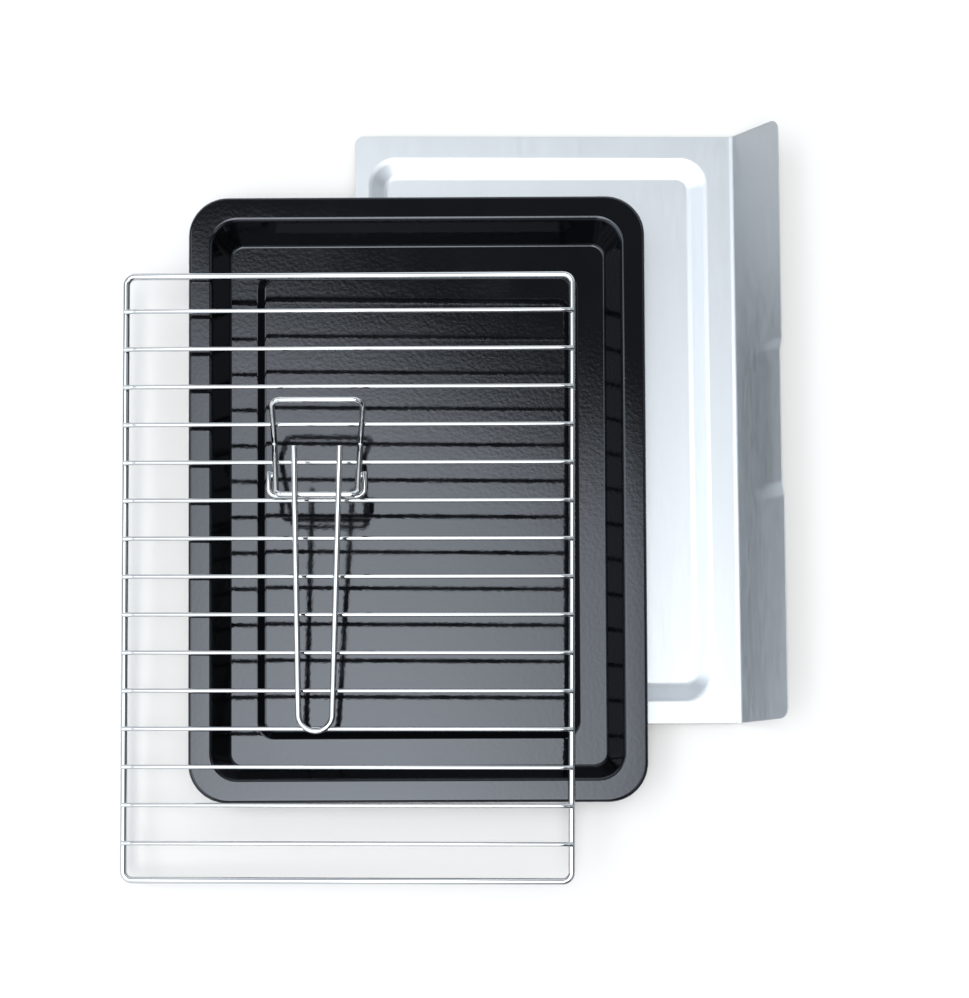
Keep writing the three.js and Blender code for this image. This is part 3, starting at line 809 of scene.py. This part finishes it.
# %% Vitreous enamel
enamel, tree, shader = new_finish("black_vitreous_enamel", "#070708", Roughness=0.07, IOR=1.5,
                                  Specular_Tint=hex_colour("#EEF5FF"))
place = add_node(tree, "ShaderNodeTexCoord").outputs["Object"]
# one wave of orange peel in 2.5 mm
peel = add_node(tree, "ShaderNodeTexNoise", {"Vector": place, "Scale": 0.4 / mm, "Detail": 2.0})
bump = add_node(tree, "ShaderNodeBump", {"Height": peel.outputs["Fac"], "Strength": 0.09,
                                         "Distance": 0.4 * mm})
tree.links.new(bump.outputs["Normal"], shader.inputs["Normal"])
# thicker and thinner enamel in patches of about 36 mm
mottle = add_node(tree, "ShaderNodeTexNoise", {
    "Vector": place, "Scale": 0.028 / mm, "Detail": 5.0})
rough = add_node(tree, "ShaderNodeMapRange", {
    "Value": mottle.outputs["Fac"], "From Min": 0.3, "From Max": 0.7,
    "To Min": 0.05, "To Max": 0.10})
tree.links.new(rough.outputs[0], shader.inputs["Roughness"])
tint = add_node(tree, "ShaderNodeMix", {
    "Factor": mottle.outputs["Fac"], 6: hex_colour("#060607"), 7: hex_colour("#08080A"),
}, data_type="RGBA")
tree.links.new(tint.outputs[2], shader.inputs["Base Color"])
print(enamel.name, "has", len(tree.nodes), "nodes")

# %% [markdown]
# ## Finishes: chrome plate
#
# The wires are drawn through a die, bent, welded and then plated with nickel and chrome, so
# welds and wires share one bright coat. It mirrors the room in thin white and black lines
# along each wire. The plate is duller in spots of about a centimetre. The die's marks are
# a few hundredths of a millimetre apart on a real wire; here they are 0.7 mm apart, which is
# as fine as still shows. A roughness map alone would leave the mirrored lines ruler-straight.

# %% Chrome plate
chrome, tree, shader = new_finish("bright_chrome_plate", "#C4C5C5", Metallic=1.0, Roughness=0.05)
place = add_node(tree, "ShaderNodeTexCoord").outputs["Object"]
# duller spots, 11 mm apart
dull = add_node(tree, "ShaderNodeTexNoise", {"Vector": place, "Scale": 0.09 / mm, "Detail": 4.0})
rough = add_node(tree, "ShaderNodeMapRange", {
    "Value": dull.outputs["Fac"], "From Min": 0.3, "From Max": 0.7,
    "To Min": 0.03, "To Max": 0.09})
tree.links.new(rough.outputs[0], shader.inputs["Roughness"])
# drawing marks, coarser than real ones so that they show
marks = add_node(tree, "ShaderNodeTexNoise", {"Vector": place, "Scale": 1.5 / mm, "Detail": 1.0})
bump = add_node(tree, "ShaderNodeBump", {"Height": marks.outputs["Fac"], "Strength": 0.05,
                                         "Distance": 0.1 * mm})
tree.links.new(bump.outputs["Normal"], shader.inputs["Normal"])
print(chrome.name, "has", len(tree.nodes), "nodes")

# %% [markdown]
# ## Finishes: satin sheet
#
# The crumb tray is steel sheet with a thin coat of aluminium and zinc, left as it came from
# the rolls. It mirrors nothing sharply and shows a broad sheen that turns each bend pale or
# dark. Rolling leaves a grain along the tray's long side. Real grain is under 0.1 mm wide;
# here it is 1.1 mm, so that it shows, and 17 times as long. An anisotropic shader would smear
# the sheen instead, but the coat is too matt for that to be seen.

# %% Satin sheet
satin, tree, shader = new_finish("satin_coated_steel", "#C5C8CA", Metallic=1.0, Roughness=0.46)
place = add_node(tree, "ShaderNodeTexCoord").outputs["Object"]
along = add_node(tree, "ShaderNodeMapping", {"Vector": place, "Scale": (1, 0.06, 1)})
# rolling grain, 1.1 mm wide and 18 mm long
grain = add_node(tree, "ShaderNodeTexNoise", {
    "Vector": along.outputs[0], "Scale": 0.9 / mm, "Detail": 3.0})
rough = add_node(tree, "ShaderNodeMapRange", {
    "Value": grain.outputs["Fac"], "From Min": 0.3, "From Max": 0.7,
    "To Min": 0.42, "To Max": 0.50})
tree.links.new(rough.outputs[0], shader.inputs["Roughness"])
bump = add_node(tree, "ShaderNodeBump", {"Height": grain.outputs["Fac"], "Strength": 0.2,
                                         "Distance": 0.1 * mm})
tree.links.new(bump.outputs["Normal"], shader.inputs["Normal"])
# paler and darker streaks, 17 mm wide
streaks = add_node(tree, "ShaderNodeTexNoise", {
    "Vector": along.outputs[0], "Scale": 0.06 / mm, "Detail": 2.0})
tint = add_node(tree, "ShaderNodeMix", {
    "Factor": streaks.outputs["Fac"], 6: hex_colour("#C2C5C7"), 7: hex_colour("#C8CBCD"),
}, data_type="RGBA")
tree.links.new(tint.outputs[2], shader.inputs["Base Color"])
print(satin.name, "has", len(tree.nodes), "nodes")

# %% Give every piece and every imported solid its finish
finishes = {"satin_sheet": satin, "black_enamel": enamel, "chromed_wire": chrome}
slots = {part["node"]: part["material_slot"] for part in frame["record"]["subparts"]}
finished = [(baking_tray, enamel), (crumb_tray, satin)]
finished += [(wire, chrome) for wire in (rack_frame, *cross_wires, rack_welds,
                                         loop, grip, brace, handle_welds)]
finished += [(solid, finishes[slots[name]]) for name, solid in frame["nodes"].items()]
for piece, finish in finished:
    piece.data.materials.clear()
    piece.data.materials.append(finish)
print(len(finished), "pieces and solids have a finish")
